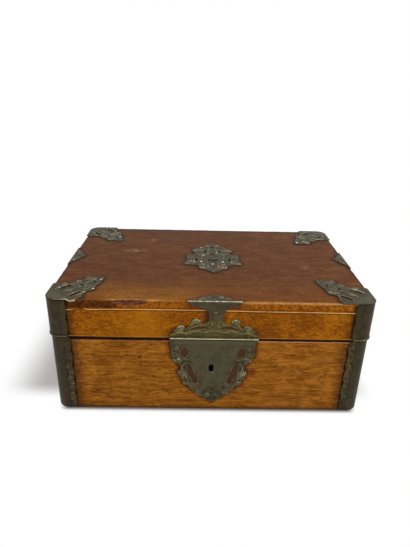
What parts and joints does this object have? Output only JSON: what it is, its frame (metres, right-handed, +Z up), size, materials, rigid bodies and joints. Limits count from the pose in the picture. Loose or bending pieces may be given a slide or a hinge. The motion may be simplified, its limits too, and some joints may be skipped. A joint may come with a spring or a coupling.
{
  "type": "money box",
  "caption": "Rectangular wooden box with a hinged lid, pierced sheet mounts, divided coin wells and a keyed lock.",
  "frame": {"origin": "on the floor, under the middle of the carcase", "axes": "+Z up, +X to the right along the front, the front with the keyhole faces -Y"},
  "size_m": [0.3016, 0.2048, 0.121],
  "materials": {
    "sheet_mounts": "dark patina",
    "top_wood": "worn wax",
    "lid_wood": "worn wax",
    "body_wood": "worn wax",
    "inner_wood": "bare",
    "lock_iron": "worn"
  },
  "bodies": {
    "carcase": {"front_board": "body_wood", "back_board": "body_wood", "left_board": "body_wood", "right_board": "body_wood", "bottom_board": "inner_wood", "long_divider": "inner_wood", "left_cross_divider": "inner_wood", "right_cross_divider": "inner_wood", "back_cross_divider": "inner_wood", "lock_escutcheon": "sheet_mounts", "lock_plate": "lock_iron", "lock_case": "lock_iron", "key_pin": "lock_iron", "lock_stumps": "lock_iron", "lock_spring": "lock_iron", "lower_hinge_leaf_left": "lock_iron", "lower_hinge_leaf_right": "lock_iron", "hinge_pin_left": "lock_iron", "hinge_pin_right": "lock_iron", "body_corner_mount_front_left": "sheet_mounts", "body_corner_mount_front_right": "sheet_mounts", "body_corner_mount_back_left": "sheet_mounts", "body_corner_mount_back_right": "sheet_mounts"},
    "bolt": {"lock_bolt": "lock_iron"},
    "lid": {"lid_top_board": "top_wood", "lid_front_rail": "lid_wood", "lid_back_rail": "lid_wood", "lid_left_rail": "lid_wood", "lid_right_rail": "lid_wood", "top_cartouche": "sheet_mounts", "front_edge_mount": "sheet_mounts", "left_edge_mount": "sheet_mounts", "right_edge_mount": "sheet_mounts", "lid_lock_mount": "sheet_mounts", "staple_plate": "lock_iron", "upper_hinge_leaf_left": "lock_iron", "upper_hinge_leaf_right": "lock_iron", "top_corner_leaf_front_left": "sheet_mounts", "top_corner_leaf_front_right": "sheet_mounts", "top_corner_leaf_back_left": "sheet_mounts", "top_corner_leaf_back_right": "sheet_mounts", "lid_corner_mount_front_left": "sheet_mounts", "lid_corner_mount_front_right": "sheet_mounts", "lid_corner_mount_back_left": "sheet_mounts", "lid_corner_mount_back_right": "sheet_mounts"}
  },
  "joints": [
    {"name": "lid_hinge", "type": "hinge", "parent": "carcase", "child": "lid", "pos_m": [0, 0.097, 0.082], "axis": [-1, 0, 0], "range_deg": [0, 98]},
    {"name": "bolt_slide", "type": "slide", "parent": "carcase", "child": "bolt", "axis": [1, 0, 0], "range_m": [0, 0.006]}
  ]
}
